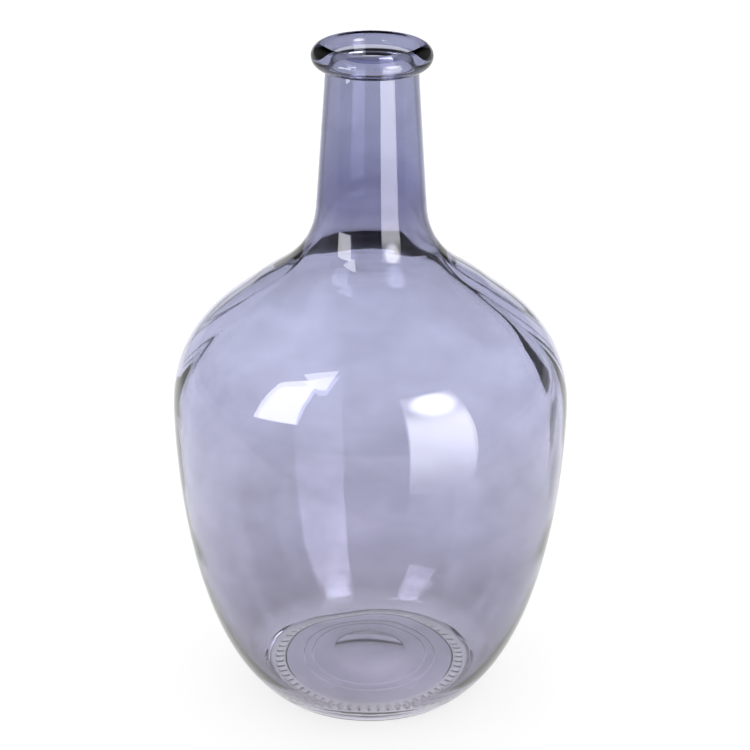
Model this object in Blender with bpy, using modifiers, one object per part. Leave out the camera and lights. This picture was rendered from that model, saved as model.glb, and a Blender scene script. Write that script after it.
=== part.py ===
# A bottle shaped vase of clear grey-blue glass.
# The whole vase is one piece of glass: a thick base, domed inside and stepped
# underneath, with a ring of moulded bars to stand on, an egg shaped body, a
# tapering neck and a rolled lip.
# Metres, +Z up. The origin is the middle of the base, on the table.

import math

import bpy
import bmesh
from mathutils import Matrix
from mathutils import Vector

# Foot: where the wall leaves the underside
foot_radius = 0.0375
heel_radius = 0.0413
heel_height = 0.0015
heel_lean = 50.4
heel_reach = 0.0015

# Body: the widest ring, the slope of the shoulder, and how far each bend reaches
belly_radius = 0.0755
belly_height = 0.1186
side_reach_low = 0.0432
side_reach_high = 0.0067
belly_reach = 0.0291
shoulder_radius = 0.0447
shoulder_height = 0.1670
shoulder_lean = -50.8
shoulder_reach_low = 0.0150
shoulder_reach_high = 0.0090

# Neck
neck_foot_radius = 0.0206
neck_foot_height = 0.1987
neck_root_reach = 0.0205
neck_top_radius = 0.0171
neck_length = 0.05237

# Lip: a rolled bead that stands out round the top of the neck
bead_radius = 0.0045
bead_overhang = 0.0053

# Thickness of the blown wall, by the height outside: thick at the foot, thin round the
# belly, thick under the neck, thin in the throat, then even up the neck
low_wall = 0.0038
belly_wall = 0.0019
wall_fade = 0.0320
belly_wall_height = 0.0800
shoulder_wall = 0.0032
shoulder_wall_height = 0.1400
root_wall = 0.0036
root_wall_height = 0.1710
throat_wall = 0.0015
throat_wall_height = 0.1833
neck_wall = 0.0019
neck_wall_height = 0.1915

# Inside floor: a dome, then a round corner up to the wall
floor_middle = 0.0150
floor_rim = 0.0069
floor_rim_radius = 0.0395
floor_corner_height = 0.0109
floor_corner_reach = 0.0081

# Underside: a narrow ring to stand on, three rounded steps up, a hollow in the middle
ring_inner_radius = 0.0332
ring_step_rise = 0.0009
ring_step_width = 0.0012
panel_radius = 0.0255
centre_radius = 0.0220
small_step_rise = 0.0004
small_step_width = 0.0008
hollow_radius = 0.0145
hollow_depth = 0.0020

# Moulded bars across the standing ring, which they leave clear at both edges
bar_count = 60
bar_inset = 0.0006
bar_height = 0.00035
bar_width = 0.0018
bar_land = 0.0010
bar_root = 0.0003

# Points along each stretch of the outline
points_heel = 3
points_side = 10
points_shoulder = 8
points_neck_root = 10
points_bead = 10
points_mouth = 4
points_corner = 5
points_floor = 4
points_step = 2
points_hollow = 3
facets_round = bar_count


def clear_scene():
    for old in list(bpy.data.objects):
        bpy.data.objects.remove(old)


def new_collection(name):
    collection = bpy.data.collections.new(name)
    bpy.context.scene.collection.children.link(collection)
    return collection


def along(lean):
    """Direction of a wall that climbs at this lean from upright, in degrees."""
    return Vector((math.sin(math.radians(lean)), math.cos(math.radians(lean))))


def bend(start, start_way, end, end_way, count):
    """Points of a smooth bend, from start to end, with a reach along the wall at each."""
    first = start + start_way
    last = end - end_way
    points = []
    for i in range(count + 1):
        t = i / count
        s = 1.0 - t
        points.append(start * s**3 + first * (3 * t * s * s) + last * (3 * t * t * s) + end * t**3)
    return points


def arc(middle, wide, tall, from_angle, to_angle, count):
    """Points of a round or oval arc, angles in degrees from +X."""
    points = []
    for i in range(count + 1):
        angle = math.radians(from_angle + (to_angle - from_angle) * i / count)
        points.append(middle + Vector((wide * math.cos(angle), tall * math.sin(angle))))
    return points


def outer_wall():
    """Outside of the glass, from the foot up to the crease under the lip."""
    foot = Vector((foot_radius, bar_height))
    heel = Vector((heel_radius, heel_height))
    belly = Vector((belly_radius, belly_height))
    shoulder = Vector((shoulder_radius, shoulder_height))
    neck_foot = Vector((neck_foot_radius, neck_foot_height))
    neck_top = Vector((neck_top_radius, neck_foot_height + neck_length))

    flat = Vector((1.0, 0.0))
    upright = Vector((0.0, 1.0))
    heel_way = along(heel_lean)
    shoulder_way = along(shoulder_lean)
    neck_way = (neck_top - neck_foot).normalized()

    heel_bend = bend(foot, flat * heel_reach, heel, heel_way * heel_reach, points_heel)
    side = bend(heel, heel_way * side_reach_low, belly, upright * side_reach_high, points_side)
    upper = bend(belly, upright * belly_reach, shoulder, shoulder_way * shoulder_reach_low, points_shoulder)
    root = bend(shoulder, shoulder_way * shoulder_reach_high, neck_foot, neck_way * neck_root_reach,
                points_neck_root)
    return heel_bend, side[1:] + upper[1:] + root[1:] + [neck_top]


def ease(height, low, high):
    """Smooth step from 0 to 1 between two heights."""
    t = min(max((height - low) / (high - low), 0.0), 1.0)
    return t * t * (3.0 - 2.0 * t)


def wall_at(height):
    """Thickness of the glass at a height of the outside."""
    stations = [
        (belly_wall_height, belly_wall),
        (shoulder_wall_height, shoulder_wall),
        (root_wall_height, root_wall),
        (throat_wall_height, throat_wall),
        (neck_wall_height, neck_wall),
    ]
    wall = belly_wall + (low_wall - belly_wall) * math.exp(-height / wall_fade)
    for (low, wall_below), (high, wall_above) in zip(stations, stations[1:]):
        wall += (wall_above - wall_below) * ease(height, low, high)
    return wall


def inner_wall(outer):
    """The outside moved in by the wall's thickness, from the floor's corner to the lip."""
    points = []
    for i in range(1, len(outer)):
        after = outer[min(i + 1, len(outer) - 1)]
        way = (after - outer[i - 1]).normalized()
        inward = Vector((-way.y, way.x))
        moved = outer[i] + inward * wall_at(outer[i].y)
        if moved.y > floor_corner_height:
            points.append(moved)
    return points


def lip(neck_top, bore_radius):
    """Round bead outside, and an eased edge down into the bore."""
    ring_radius = neck_top.x + bead_overhang - bead_radius
    drop = math.sqrt(bead_radius**2 - (ring_radius - neck_top.x)**2)
    middle = Vector((ring_radius, neck_top.y + drop))
    under_angle = -90.0 - math.degrees(math.asin((ring_radius - neck_top.x) / bead_radius))
    mouth = arc(middle, ring_radius - bore_radius, bead_radius, 180.0, 90.0, points_mouth)
    bead = arc(middle, bead_radius, bead_radius, 90.0, under_angle, points_bead)
    return mouth + bead[1:]


def inside_floor(first_wall_point, second_wall_point):
    """A dome in the middle, then the round corner up to the wall."""
    middle = Vector((0.0, floor_middle))
    rim = Vector((floor_rim_radius, floor_rim))
    level_way = Vector((floor_rim_radius / 3.0, 0.0))
    rim_way = Vector((floor_rim_radius / 3.0, -2.0 * (floor_middle - floor_rim) / 3.0))
    wall_way = (second_wall_point - first_wall_point).normalized()
    dome = bend(middle, level_way, rim, rim_way, points_floor)
    corner = bend(rim, rim_way.normalized() * floor_corner_reach, first_wall_point,
                  wall_way * floor_corner_reach, points_corner)
    return dome + corner[1:-1]


def underside():
    """Standing ring, rounded steps up toward the middle, and the hollow inside them."""
    steps = [
        (ring_inner_radius, ring_step_rise, ring_step_width),
        (panel_radius, small_step_rise, small_step_width),
        (centre_radius, small_step_rise, small_step_width),
    ]
    points = []
    level = bar_height
    for radius, rise, width in steps:
        way = Vector((-width / 2.0, 0.0))
        start = Vector((radius, level))
        end = Vector((radius - width, level + rise))
        points += bend(start, way, end, way, points_step)
        level += rise
    for i in range(points_hollow + 1):
        reach = 1.0 - i / points_hollow
        points.append(Vector((hollow_radius * reach, level + hollow_depth * (1.0 - reach**2))))
    return points


def vase_section():
    """Half section: up the inside from the floor, over the lip, down the outside."""
    heel_bend, wall = outer_wall()
    inner = inner_wall(wall)
    rim = lip(wall[-1], inner[-1].x)
    floor = inside_floor(inner[0], inner[1])
    outside = list(reversed(heel_bend + wall[:-1]))
    return floor + inner + rim + outside + underside()


def turned_object(name, section, collection):
    """An open half section turned about Z by a Screw modifier."""
    mesh = bpy.data.meshes.new(name)
    edges = [(i, i + 1) for i in range(len(section) - 1)]
    mesh.from_pydata([(point.x, 0.0, point.y) for point in section], edges, [])
    turned = bpy.data.objects.new(name, mesh)
    collection.objects.link(turned)
    screw = turned.modifiers.new("turn", "SCREW")
    screw.axis = "Z"
    screw.steps = facets_round
    screw.render_steps = facets_round
    screw.use_merge_vertices = True
    screw.merge_threshold = 0.00001
    screw.use_smooth_shade = True
    return turned


def base_bars(collection):
    """The moulded bars, one between each two facets, sunk a little into the ring."""
    mesh = bpy.data.meshes.new("base_bars")
    bars = bmesh.new()
    length = foot_radius - ring_inner_radius - 2.0 * bar_inset
    middle_radius = (foot_radius + ring_inner_radius) / 2.0
    tall = bar_height + bar_root
    draft = (bar_width - bar_land) / 2.0
    for i in range(bar_count):
        size = Matrix.Diagonal((length, bar_width, tall, 1.0))
        bar = bmesh.ops.create_cube(bars, size=1.0, matrix=size)["verts"]
        for vert in bar:
            if vert.co.z < 0.0:
                vert.co.x -= math.copysign(draft, vert.co.x)
                vert.co.y -= math.copysign(draft, vert.co.y)
        turn = Matrix.Rotation(2.0 * math.pi * (i + 0.5) / bar_count, 4, "Z")
        place = turn @ Matrix.Translation((middle_radius, 0.0, tall / 2.0))
        bmesh.ops.transform(bars, matrix=place, verts=bar)
    bars.to_mesh(mesh)
    bars.free()
    tool = bpy.data.objects.new("base_bars", mesh)
    collection.objects.link(tool)
    tool.hide_render = True
    tool.display_type = "WIRE"
    return tool


def glass_material():
    material = bpy.data.materials.new("grey_blue_glass")
    material.use_nodes = True
    shader = material.node_tree.nodes["Principled BSDF"]
    shader.inputs["Base Color"].default_value = (0.62, 0.64, 0.78, 1.0)
    shader.inputs["Roughness"].default_value = 0.03
    shader.inputs["Metallic"].default_value = 0.0
    shader.inputs["IOR"].default_value = 1.52
    shader.inputs["Transmission Weight"].default_value = 1.0
    return material


def build():
    clear_scene()
    parts = new_collection("bottle_vase")
    tools = new_collection("shaping_tools")

    vase = turned_object("glass_vase", vase_section(), parts)
    bars = base_bars(tools)
    join = vase.modifiers.new("bars", "BOOLEAN")
    join.operation = "UNION"
    join.solver = "EXACT"
    join.object = bars
    vase.data.materials.append(glass_material())


build()
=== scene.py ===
# Bottle vase of clear grey-blue glass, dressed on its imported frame
import math

import bpy
import numpy as np
from mathutils import Euler, Matrix


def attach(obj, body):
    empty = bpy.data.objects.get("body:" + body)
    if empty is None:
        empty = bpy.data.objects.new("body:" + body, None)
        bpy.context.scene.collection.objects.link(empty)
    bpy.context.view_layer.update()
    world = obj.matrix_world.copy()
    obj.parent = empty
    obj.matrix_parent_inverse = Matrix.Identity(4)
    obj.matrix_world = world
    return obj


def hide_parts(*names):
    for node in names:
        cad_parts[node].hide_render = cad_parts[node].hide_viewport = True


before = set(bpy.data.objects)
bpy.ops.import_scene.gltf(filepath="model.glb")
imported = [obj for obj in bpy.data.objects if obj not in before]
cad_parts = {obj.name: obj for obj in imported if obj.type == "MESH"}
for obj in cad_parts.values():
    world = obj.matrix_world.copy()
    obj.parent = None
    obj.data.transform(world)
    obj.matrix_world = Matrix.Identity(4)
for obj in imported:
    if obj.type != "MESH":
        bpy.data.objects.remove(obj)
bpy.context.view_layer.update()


# Small helpers for shader nodes

def addNode(tree, kind, **settings):
    node = tree.nodes.new(kind)
    for name, value in settings.items():
        setattr(node, name, value)
    return node


def feed(tree, socket, value):
    if isinstance(value, bpy.types.NodeSocket):
        tree.links.new(value, socket)
    else:
        socket.default_value = value


def reckon(tree, operation, *values, clamp=False):
    node = addNode(tree, "ShaderNodeMath", operation=operation, use_clamp=clamp)
    for socket, value in zip(node.inputs, values):
        feed(tree, socket, value)
    return node.outputs[0]


def easeBetween(tree, value, low, high):
    node = addNode(tree, "ShaderNodeMapRange", interpolation_type="SMOOTHSTEP")
    feed(tree, node.inputs["Value"], value)
    node.inputs["From Min"].default_value = low
    node.inputs["From Max"].default_value = high
    return node.outputs["Result"]


def placeOf(tree, kind="Object"):
    return addNode(tree, "ShaderNodeTexCoord").outputs[kind]


def partsOf(tree, place):
    parts = addNode(tree, "ShaderNodeSeparateXYZ")
    tree.links.new(place, parts.inputs[0])
    return parts.outputs


# The vase: metres, leans in degrees from upright, walls as (height, thickness)

vase = {
    # foot, body and neck
    "footRadius": 0.0375, "heelRadius": 0.0413, "heelHeight": 0.0015, "heelLean": 50.4, "heelReach": 0.0015,
    "bellyRadius": 0.0755, "bellyHeight": 0.1186, "sideReachLow": 0.0432, "sideReachHigh": 0.0067,
    "bellyReach": 0.0291, "shoulderRadius": 0.0447, "shoulderHeight": 0.1670, "shoulderLean": -50.8,
    "shoulderReachLow": 0.0150, "shoulderReachHigh": 0.0090,
    "neckFootRadius": 0.0206, "neckFootHeight": 0.1987, "neckRootReach": 0.0205,
    "neckTopRadius": 0.0171, "neckLength": 0.05237, "beadRadius": 0.0045, "beadOverhang": 0.0053,
    # the blown wall and the inside of the floor
    "lowWall": 0.0038, "wallFade": 0.0320,
    "walls": [(0.0800, 0.0019), (0.1400, 0.0032), (0.1710, 0.0036), (0.1833, 0.0015), (0.1915, 0.0019)],
    "floorMiddle": 0.0150, "floorRim": 0.0069, "floorRimRadius": 0.0395,
    "floorCornerHeight": 0.0109, "floorCornerReach": 0.0081,
    # the underside: steps, hollow, and bars across the standing ring
    "ringInnerRadius": 0.0332, "ringStepRise": 0.0009, "ringStepWidth": 0.0012,
    "panelRadius": 0.0255, "centreRadius": 0.0220, "smallStepRise": 0.0004, "smallStepWidth": 0.0008,
    "hollowRadius": 0.0145, "hollowDepth": 0.0020,
    "barCount": 60, "barInset": 0.0006, "barHeight": 0.00035, "barWidth": 0.0018, "barLand": 0.0010,
    "barEndSlope": 0.0004,
    # the mesh: the coat starts just above the standing ring
    "coatFrom": 0.0006, "sharpAngle": 38,
    "heelRows": 8, "sideRows": 38, "shoulderRows": 26, "rootRows": 22, "neckRows": 8, "mouthRows": 14,
    "beadRows": 26, "domeRows": 16, "cornerRows": 14, "stepRows": 8, "hollowRows": 13, "columns": 300,
}


def along(lean):
    return np.array([math.sin(math.radians(lean)), math.cos(math.radians(lean))])


# Smooth bend from start to end, with a reach along the wall at each
def bend(start, startWay, end, endWay, count):
    t = np.linspace(0.0, 1.0, count + 1)[:, None]
    s = 1.0 - t
    return start * s**3 + (start + startWay) * 3 * t * s * s + (end - endWay) * 3 * t * t * s + end * t**3


def arc(middle, wide, tall, fromAngle, toAngle, count):
    angle = np.radians(np.linspace(fromAngle, toAngle, count + 1))
    return middle + np.stack([wide * np.cos(angle), tall * np.sin(angle)], 1)


# Outside of the glass, from the foot up to the crease under the lip
def outerWall(v):
    foot = np.array([v["footRadius"], v["barHeight"]])
    heel = np.array([v["heelRadius"], v["heelHeight"]])
    belly = np.array([v["bellyRadius"], v["bellyHeight"]])
    shoulder = np.array([v["shoulderRadius"], v["shoulderHeight"]])
    neckFoot = np.array([v["neckFootRadius"], v["neckFootHeight"]])
    neckTop = np.array([v["neckTopRadius"], v["neckFootHeight"] + v["neckLength"]])
    flat, upright = np.array([1.0, 0.0]), np.array([0.0, 1.0])
    heelWay, shoulderWay = along(v["heelLean"]), along(v["shoulderLean"])
    neckWay = (neckTop - neckFoot) / np.linalg.norm(neckTop - neckFoot)
    heelBend = bend(foot, flat * v["heelReach"], heel, heelWay * v["heelReach"], v["heelRows"])
    side = bend(heel, heelWay * v["sideReachLow"], belly, upright * v["sideReachHigh"], v["sideRows"])
    upper = bend(belly, upright * v["bellyReach"], shoulder, shoulderWay * v["shoulderReachLow"],
                 v["shoulderRows"])
    root = bend(shoulder, shoulderWay * v["shoulderReachHigh"], neckFoot, neckWay * v["neckRootReach"],
                v["rootRows"])
    neck = np.linspace(neckFoot, neckTop, v["neckRows"] + 1)
    return heelBend, np.vstack([side[1:], upper[1:], root[1:], neck[1:]])


def ease(value, low, high):
    t = np.clip((value - low) / (high - low), 0.0, 1.0)
    return t * t * (3 - 2 * t)


# Thickness of the glass at a height of the outside
def wallAt(v, walls, height):
    belly = walls[0][1]
    wall = belly + (v["lowWall"] - belly) * np.exp(-height / v["wallFade"])
    for (low, wallBelow), (high, wallAbove) in zip(walls, walls[1:]):
        wall += (wallAbove - wallBelow) * ease(height, low, high)
    return wall


# The outside moved in by that thickness, with the way in and the outside's height at each row
def innerWall(v, outer):
    after = np.vstack([outer[2:], outer[-1:]])
    way = after - outer[:-1]
    way /= np.linalg.norm(way, axis=1)[:, None]
    inward = np.stack([-way[:, 1], way[:, 0]], 1)
    moved = outer[1:] + inward * wallAt(v, v["walls"], outer[1:, 1])[:, None]
    above = moved[:, 1] > v["floorCornerHeight"]
    return moved[above], inward[above], outer[1:, 1][above]


# A dome in the middle, then a round corner up to the wall
def insideFloor(v, wallFoot, wallNext):
    drop = v["floorMiddle"] - v["floorRim"]
    middle = np.array([0.0, v["floorMiddle"]])
    rim = np.array([v["floorRimRadius"], v["floorRim"]])
    level = np.array([v["floorRimRadius"] / 3, 0.0])
    slope = np.array([v["floorRimRadius"], -2 * drop]) / 3
    lift = (wallNext - wallFoot) / np.linalg.norm(wallNext - wallFoot)
    dome = bend(middle, level, rim, slope, v["domeRows"])
    corner = bend(rim, slope / np.linalg.norm(slope) * v["floorCornerReach"], wallFoot,
                  lift * v["floorCornerReach"], v["cornerRows"])
    return np.vstack([dome, corner[1:]])


# Rounded steps up from the standing ring, and the hollow inside them
def underside(v):
    level = v["barHeight"]
    rows = []
    for radius, rise, width in [(v["ringInnerRadius"], v["ringStepRise"], v["ringStepWidth"]),
                                (v["panelRadius"], v["smallStepRise"], v["smallStepWidth"]),
                                (v["centreRadius"], v["smallStepRise"], v["smallStepWidth"])]:
        way = np.array([-width / 2, 0.0])
        start = np.array([radius, level])
        end = np.array([radius - width, level + rise])
        rows.append(bend(start, way, end, way, v["stepRows"]))
        level += rise
    reach = np.linspace(1, 0, v["hollowRows"] + 1)
    rows.append(np.stack([v["hollowRadius"] * reach, level + v["hollowDepth"] * (1 - reach**2)], 1))
    return np.vstack(rows)


# Half section: up the inside from the floor, then over the lip and down the outside
def vaseSection(v):
    heelBend, wall = outerWall(v)
    inner, inward, wallHeights = innerWall(v, wall)
    ringRadius = v["neckTopRadius"] + v["beadOverhang"] - v["beadRadius"]
    reach = ringRadius - v["neckTopRadius"]
    middle = np.array([ringRadius, wall[-1, 1] + math.sqrt(v["beadRadius"]**2 - reach**2)])
    underAngle = -90.0 - math.degrees(math.asin(reach / v["beadRadius"]))
    mouth = arc(middle, ringRadius - inner[-1, 0], v["beadRadius"], 180.0, 90.0, v["mouthRows"])
    bead = arc(middle, v["beadRadius"], v["beadRadius"], 90.0, underAngle, v["beadRows"])
    half = v["barEndSlope"] / 2
    barOuter, barInner = v["footRadius"] - v["barInset"], v["ringInnerRadius"] + v["barInset"]
    ringRadii = [barOuter + half, barOuter - half, barInner + half, barInner - half]
    ring = np.array([[radius, v["barHeight"]] for radius in ringRadii])
    inside = np.vstack([insideFloor(v, inner[0], inner[1]), inner[1:]])
    outside = np.vstack([mouth, bead[1:], wall[-2::-1], heelBend[::-1], ring, underside(v)])
    return inside, outside, inward, wallHeights


# The blown wall isn't even round the vase: behind the right side its thick band hangs low, less at the left.
# Angles run in degrees from that side toward the back, and drops say how much lower the band hangs there

uneven = {
    "walls": [(0.0800, 0.0019), (0.1400, 0.0038), (0.1670, 0.0047), (0.1853, 0.0013), (0.1925, 0.0019)],
    "fadeIn": (0.060, 0.090), "fadeOut": (0.178, 0.186), "blur": [-4, -2, 0, 2, 4],
    "sides": {
        "right": {"angles": [-13, 9, 25, 36, 48, 64], "drops": [0, 0.0595, 0.0535, 0.0440, 0.0180, 0],
                  "edges": [-15, 11, 64, 80], "share": 1.0},
        "left": {"angles": [-22, 0, 14, 22, 27, 40], "drops": [0, 0.0460, 0.0420, 0.0340, 0.0220, 0],
                 "edges": [-24, 0, 40, 56], "share": 0.5},
    },
}


def softInterp(value, knots, levels, blur):
    return sum(np.interp(value + shift, knots, levels) for shift in blur) / len(blur)


def sagAt(v, u, angle, height):
    degrees = np.degrees(angle)
    total = 0.0
    for side, sag in u["sides"].items():
        fromSide = (degrees if side == "right" else 180 - degrees) % 360
        fromSide = np.where(fromSide > 180, fromSide - 360, fromSide)
        drop = softInterp(fromSide, sag["angles"], sag["drops"], u["blur"])
        share = sag["share"] * softInterp(fromSide, sag["edges"], [0, 1, 1, 0], u["blur"])
        total = total + (wallAt(v, u["walls"], height + drop) - wallAt(v, v["walls"], height)) * share
    return total * ease(height, *u["fadeIn"]) * (1 - ease(height, *u["fadeOut"]))


# Slow ripple of the inside of the blown wall: each wave is (turns, climb in 100 mm, phase, share)

ripple = {
    "depth": 0.00004, "low": 0.03, "high": 0.185, "fade": 0.02, "climbHeight": 0.1,
    "waves": [(2, 9.0, 0.4, 1.0), (3, -14.0, 1.9, 0.8), (5, 23.0, 4.1, 0.6), (8, -31.0, 2.6, 0.35),
              (11, 47.0, 5.3, 0.25)],
}


def rippleAt(r, angle, height):
    total = sum(share * np.sin(turns * angle + climb * height / r["climbHeight"] + phase)
                for turns, climb, phase, share in r["waves"])
    rise = np.clip((height - r["low"]) / r["fade"], 0, 1) * np.clip((r["high"] - height) / r["fade"], 0, 1)
    return r["depth"] * rise * total


# How far the moulded bars reach down from the standing ring, at each point of the mesh
def barDrop(v, angle, radius, height):
    pitch = 2 * math.pi / v["barCount"]
    ringMiddle = (v["footRadius"] + v["ringInnerRadius"]) / 2
    ringHalf = (v["footRadius"] - v["ringInnerRadius"]) / 2
    fromBar = np.abs(angle / pitch % 1.0 - 0.5) * pitch * ringMiddle
    bump = np.clip((v["barWidth"] / 2 - fromBar) / ((v["barWidth"] - v["barLand"]) / 2), 0, 1)
    onRing = np.isclose(height, v["barHeight"])
    acrossRing = np.abs(radius - ringMiddle) < ringHalf - v["barInset"]
    return np.where(onRing & acrossRing, bump[None, :] * v["barHeight"], 0)


# Quads from row to row, then a fan of triangles over the floor's middle and one over the base's
def turnedFaces(rows, columns, floorPoint, basePoint):
    here = np.arange(columns)
    there = (here + 1) % columns
    faces = []
    for row in range(rows - 1):
        low, high = row * columns, (row + 1) * columns
        faces += np.stack([low + here, high + here, high + there, low + there], 1).tolist()
    last = (rows - 1) * columns
    faces += [[floorPoint, int(a), int(b)] for a, b in zip(here, there)]
    faces += [[basePoint, int(last + b), int(last + a)] for a, b in zip(here, there)]
    return faces


def buildVase(v):
    inside, outside, inward, wallHeights = vaseSection(v)
    section = np.vstack([inside, outside])
    rows = len(section) - 2    # the two end points stand on the axis
    columns = v["columns"]
    angle = 2 * math.pi * np.arange(columns) / columns
    radius = np.repeat(section[1:-1, 0][:, None], columns, 1)
    height = np.repeat(section[1:-1, 1][:, None], columns, 1)
    insideRows = len(inside) - 1
    radius[:insideRows] += rippleAt(ripple, angle[None, :], height[:insideRows])
    wallRows = slice(insideRows - len(inward), insideRows)
    extra = sagAt(v, uneven, angle[None, :], wallHeights[:, None])
    radius[wallRows] += inward[:, 0][:, None] * extra
    height[wallRows] += inward[:, 1][:, None] * extra
    height -= barDrop(v, angle, radius, height)

    points = np.stack([radius * np.cos(angle), radius * np.sin(angle), height], 2).reshape(-1, 3)
    points = np.vstack([points, [[0, 0, section[0, 1]], [0, 0, section[-1, 1]]]])
    mesh = bpy.data.meshes.new("glassVase")
    mesh.from_pydata(points.tolist(), [], turnedFaces(rows, columns, len(points) - 2, len(points) - 1))
    mesh.validate()

    coated = (np.arange(rows - 1)[:, None] >= insideRows) & (height[:-1] > v["coatFrom"])
    floorFan, baseFan = np.zeros(columns), np.ones(columns)
    coated = np.concatenate([coated.ravel(), floorFan, baseFan])
    mesh.polygons.foreach_set("material_index", coated.astype(int).tolist())
    mesh.shade_smooth()
    mesh.set_sharp_from_angle(angle=math.radians(v["sharpAngle"]))
    piece = bpy.data.objects.new("glassVase", mesh)
    bpy.context.scene.collection.objects.link(piece)
    return piece


# Clear glass, with a thin see-through coat sprayed on the outside: denser up the neck, and darker low down,
# which is painted shade.
# Tints are (height, colour), and their dark stops low down, up to 70 mm, are painted shade. The clouds lie
# wider than tall

glassLook = {"ior": 1.52, "clearTint": (1.0, 1.0, 1.0), "roughness": 0.0}
coatLook = {
    "tintsAndPaintedShade": [(0.000, (0.66, 0.62, 0.80)), (0.005, (0.56, 0.53, 0.67)), (0.012, (0.24, 0.22, 0.30)),
              (0.030, (0.27, 0.26, 0.39)), (0.070, (0.31, 0.31, 0.43)), (0.110, (0.47, 0.47, 0.68)),
              (0.150, (0.55, 0.57, 0.80)), (0.178, (0.33, 0.34, 0.50)), (0.192, (0.20, 0.20, 0.34)),
              (0.202, (0.125, 0.125, 0.265)), (0.226, (0.25, 0.26, 0.43)), (0.260, (0.31, 0.32, 0.48))],
    "cloudScale": 24.0, "cloudDetail": 3.0, "cloudDepth": 0.57, "cloudFlatten": (1.0, 1.0, 1.7),
    "speckScale": 48.0, "speckSize": (0.014, 0.028), "speckCut": 0.55, "speckDepth": 0.45,
}


def glassMaterial(name, look):
    material = bpy.data.materials.new(name)
    material.use_nodes = True
    shader = material.node_tree.nodes["Principled BSDF"]
    shader.inputs["Base Color"].default_value = (*look["clearTint"], 1)
    shader.inputs["IOR"].default_value = look["ior"]
    shader.inputs["Transmission Weight"].default_value = 1.0
    shader.inputs["Roughness"].default_value = look["roughness"]
    return material


# Colour of the coat by height, with painted shade low down on the vase
def tintAndPaintedShadeByHeight(tree, coat, height):
    top = coat["tintsAndPaintedShade"][-1][0]
    ramp = addNode(tree, "ShaderNodeValToRGB")
    ramp.color_ramp.interpolation = "LINEAR"
    stops = ramp.color_ramp.elements
    while len(stops) < len(coat["tintsAndPaintedShade"]):
        stops.new(0.5)
    for stop, (level, tint) in zip(stops, coat["tintsAndPaintedShade"]):
        stop.position = level / top
        stop.color = (*tint, 1)
    tree.links.new(reckon(tree, "DIVIDE", height, top), ramp.inputs[0])
    return ramp.outputs["Color"]


def cloudDensity(tree, coat, place):
    flat = addNode(tree, "ShaderNodeVectorMath", operation="MULTIPLY")
    tree.links.new(place, flat.inputs[0])
    flat.inputs[1].default_value = coat["cloudFlatten"]
    cloud = addNode(tree, "ShaderNodeTexNoise")
    tree.links.new(flat.outputs[0], cloud.inputs["Vector"])
    cloud.inputs["Scale"].default_value = coat["cloudScale"]
    cloud.inputs["Detail"].default_value = coat["cloudDetail"]
    return reckon(tree, "MULTIPLY_ADD", cloud.outputs["Fac"], 2 * coat["cloudDepth"], 1 - coat["cloudDepth"])


# A few specks of dust caught under the coat, in the cells whose colour passes the cut
def speckDensity(tree, coat, place):
    cells = addNode(tree, "ShaderNodeTexVoronoi")
    tree.links.new(place, cells.inputs["Vector"])
    cells.inputs["Scale"].default_value = coat["speckScale"]
    near = reckon(tree, "SUBTRACT", 1.0, easeBetween(tree, cells.outputs["Distance"], *coat["speckSize"]))
    colour = addNode(tree, "ShaderNodeSeparateColor")
    tree.links.new(cells.outputs["Color"], colour.inputs[0])
    near = reckon(tree, "MULTIPLY", near, reckon(tree, "GREATER_THAN", colour.outputs[0], coat["speckCut"]))
    return reckon(tree, "MULTIPLY_ADD", near, -coat["speckDepth"], 1.0)


def coatedGlass(name, look, coat):
    material = glassMaterial(name, look)
    tree = material.node_tree
    place = placeOf(tree)
    density = reckon(tree, "MULTIPLY", cloudDensity(tree, coat, place), speckDensity(tree, coat, place))
    mottled = addNode(tree, "ShaderNodeVectorMath", operation="SCALE")
    tree.links.new(tintAndPaintedShadeByHeight(tree, coat, partsOf(tree, place)["Z"]), mottled.inputs[0])
    tree.links.new(density, mottled.inputs["Scale"])
    tree.links.new(mottled.outputs[0], tree.nodes["Principled BSDF"].inputs["Base Color"])
    return material


vasePiece = buildVase(vase)
vasePiece.data.materials.append(glassMaterial("clearGlass", glassLook))
vasePiece.data.materials.append(coatedGlass("coatedGlass", glassLook, coatLook))
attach(vasePiece, "root")
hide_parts("glass_vase")
print("vase turned and coated:", len(vasePiece.data.polygons), "faces")


# Floor and room. Both look white to the camera, and darker in the glass toward the front and the sides

studio = {
    "floorSize": 6.0, "floorColour": (0.3, 0.3, 0.3), "floorLift": 0.78,
    "floorFrontEdge": (0.23, 0.26), "floorFrontLight": 0.25, "floorSideEdge": (0.28, 0.50),    # metres
    "roomLight": 1.0, "tableEdge": (1.0, 7.0),    # degrees above the level
    "roomFrontEdge": (-0.4, 0.0), "roomSideEdge": (0.15, 0.75),    # along a way of length 1
    "sideLight": 0.5, "roomSideLight": 0.2, "darkRoom": 0.004,
}


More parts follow.
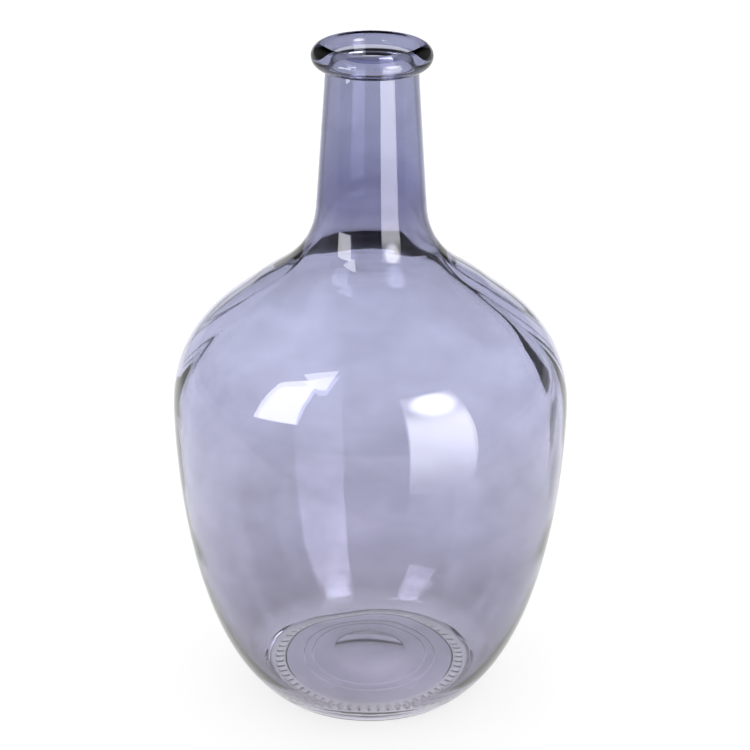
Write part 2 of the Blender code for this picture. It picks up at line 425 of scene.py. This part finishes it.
def buildFloor(s):
    bpy.ops.mesh.primitive_plane_add(size=s["floorSize"])
    floor = bpy.context.object
    floor.name = "floor"
    material = bpy.data.materials.new("paleFloor")
    material.use_nodes = True
    tree = material.node_tree
    shader = tree.nodes["Principled BSDF"]
    shader.inputs["Base Color"].default_value = (*s["floorColour"], 1)
    shader.inputs["Roughness"].default_value = 1.0
    shader.inputs["Specular IOR Level"].default_value = 0.0
    path = addNode(tree, "ShaderNodeLightPath").outputs
    seen = reckon(tree, "ADD", path["Is Camera Ray"], path["Is Glossy Ray"], clamp=True)
    seen = reckon(tree, "ADD", seen, path["Is Transmission Ray"], clamp=True)
    parts = partsOf(tree, placeOf(tree))
    front = easeBetween(tree, reckon(tree, "MULTIPLY", parts["Y"], -1), *s["floorFrontEdge"])
    front = reckon(tree, "MULTIPLY", front, path["Is Glossy Ray"])
    aside = easeBetween(tree, reckon(tree, "ABSOLUTE", parts["X"]), *s["floorSideEdge"])
    aside = reckon(tree, "MULTIPLY", aside, reckon(tree, "SUBTRACT", 1.0, path["Is Camera Ray"]))
    frontShare = reckon(tree, "MULTIPLY_ADD", front, s["floorFrontLight"] - 1, 1.0)
    sideShare = reckon(tree, "MULTIPLY_ADD", aside, s["sideLight"] - 1, 1.0)
    strength = reckon(tree, "MULTIPLY", reckon(tree, "MULTIPLY", seen, s["floorLift"]), frontShare)
    strength = reckon(tree, "MULTIPLY", strength, sideShare)
    shader.inputs["Emission Color"].default_value = (1, 1, 1, 1)
    tree.links.new(strength, shader.inputs["Emission Strength"])
    floor.data.materials.append(material)


def buildRoom(s):
    world = bpy.data.worlds.new("studio")
    bpy.context.scene.world = world
    world.use_nodes = True
    tree = world.node_tree
    background = tree.nodes["Background"]
    parts = partsOf(tree, placeOf(tree, "Generated"))
    up = reckon(tree, "DEGREES", reckon(tree, "ARCSINE", parts["Z"]))
    low = reckon(tree, "SUBTRACT", 1.0, easeBetween(tree, up, *s["tableEdge"]))
    behind = easeBetween(tree, parts["Y"], *s["roomFrontEdge"])
    aside = easeBetween(tree, reckon(tree, "ABSOLUTE", parts["X"]), *s["roomSideEdge"])
    dark = reckon(tree, "MULTIPLY_ADD", aside, s["roomSideLight"], s["darkRoom"])
    low = reckon(tree, "MULTIPLY", low, reckon(tree, "MULTIPLY_ADD", aside, s["sideLight"] - 1, 1.0))
    inGlass = reckon(tree, "MAXIMUM", reckon(tree, "MULTIPLY", low, behind), dark)
    path = addNode(tree, "ShaderNodeLightPath").outputs
    byGlass = reckon(tree, "ADD", path["Is Glossy Ray"], path["Is Transmission Ray"], clamp=True)
    mix = addNode(tree, "ShaderNodeMix", data_type="FLOAT")
    tree.links.new(byGlass, mix.inputs[0])
    mix.inputs[2].default_value = s["roomLight"]
    tree.links.new(inGlass, mix.inputs[3])
    background.inputs["Color"].default_value = (1, 1, 1, 1)
    tree.links.new(mix.outputs[0], background.inputs["Strength"])


buildFloor(studio)
buildRoom(studio)
print("floor and room in place")


# Soft lamps close to the vase, seen only in the glass: corners in metres. The right one grows brighter
# going up, fades again toward its top, and has a round hot spot

lamps = {
    "leftLamp": {"corners": [(-0.304, -0.147, 0.195), (-0.188, -0.231, 0.213), (-0.067, -0.100, 0.260),
                             (-0.150, -0.090, 0.272)], "light": 8.0},
    "leftUpperLamp": {"corners": [(-0.100, -0.087, 0.279), (-0.089, -0.133, 0.278), (-0.075, -0.137, 0.281),
                                  (-0.046, -0.095, 0.290)], "light": 6.0},
    "rightLamp": {"corners": [(0.095, -0.270, 0.002), (0.246, -0.172, 0.002), (0.246, -0.172, 0.400),
                              (0.095, -0.270, 0.400)], "light": 7.0,
                  "growth": (-0.08, 0.22), "topFade": (0.22, 0.30), "topLoss": 0.7,
                  "spot": (0.175, -0.218, 0.330), "spotEdge": (0.045, 0.090), "spotLight": 9.0},
}


def spottedLight(tree, lamp):
    place = placeOf(tree)
    parts = partsOf(tree, place)
    away = addNode(tree, "ShaderNodeVectorMath", operation="DISTANCE")
    tree.links.new(place, away.inputs[0])
    away.inputs[1].default_value = lamp["spot"]
    spot = reckon(tree, "SUBTRACT", 1.0, easeBetween(tree, away.outputs["Value"], *lamp["spotEdge"]))
    even = reckon(tree, "MULTIPLY", easeBetween(tree, parts["Z"], *lamp["growth"]), lamp["light"])
    top = easeBetween(tree, parts["Z"], *lamp["topFade"])
    even = reckon(tree, "MULTIPLY", even, reckon(tree, "MULTIPLY_ADD", top, -lamp["topLoss"], 1.0))
    return reckon(tree, "MULTIPLY_ADD", spot, lamp["spotLight"], even)


def buildLamp(name, lamp):
    mesh = bpy.data.meshes.new(name)
    mesh.from_pydata(lamp["corners"], [], [[0, 1, 2, 3]])
    piece = bpy.data.objects.new(name, mesh)
    bpy.context.scene.collection.objects.link(piece)
    material = bpy.data.materials.new(name)
    material.use_nodes = True
    tree = material.node_tree
    shader = tree.nodes["Principled BSDF"]
    shader.inputs["Base Color"].default_value = (0, 0, 0, 1)
    shader.inputs["Specular IOR Level"].default_value = 0.0
    shader.inputs["Emission Color"].default_value = (1, 1, 1, 1)
    light = spottedLight(tree, lamp) if "spot" in lamp else lamp["light"]
    feed(tree, shader.inputs["Emission Strength"], light)
    mesh.materials.append(material)
    piece.visible_camera = False
    piece.visible_diffuse = False
    piece.visible_shadow = False


for lampName, lamp in lamps.items():
    buildLamp(lampName, lamp)
print("lamps lit:", ", ".join(lamps))


# Camera at the photo's place: distance, height and tilt fitted to the outline

view = {
    "distance": 0.85695, "height": 0.48768, "tiltDown": 22.674, "turnRight": 0.1135, "roll": 0.33,
    "lens": 116.35, "sensor": 36.0,
}


def buildCamera(c):
    data = bpy.data.cameras.new("photoCamera")
    data.lens = c["lens"]
    data.sensor_width = c["sensor"]
    camera = bpy.data.objects.new("photoCamera", data)
    bpy.context.scene.collection.objects.link(camera)
    camera.location = (0.0, -c["distance"], c["height"])
    aim = Euler((math.radians(90 - c["tiltDown"]), 0, -math.radians(c["turnRight"]))).to_matrix().to_4x4()
    camera.rotation_euler = (aim @ Matrix.Rotation(math.radians(c["roll"]), 4, "Z")).to_euler()
    bpy.context.scene.camera = camera


buildCamera(view)
bpy.context.scene.view_settings.view_transform = "Standard"
print("camera in place")
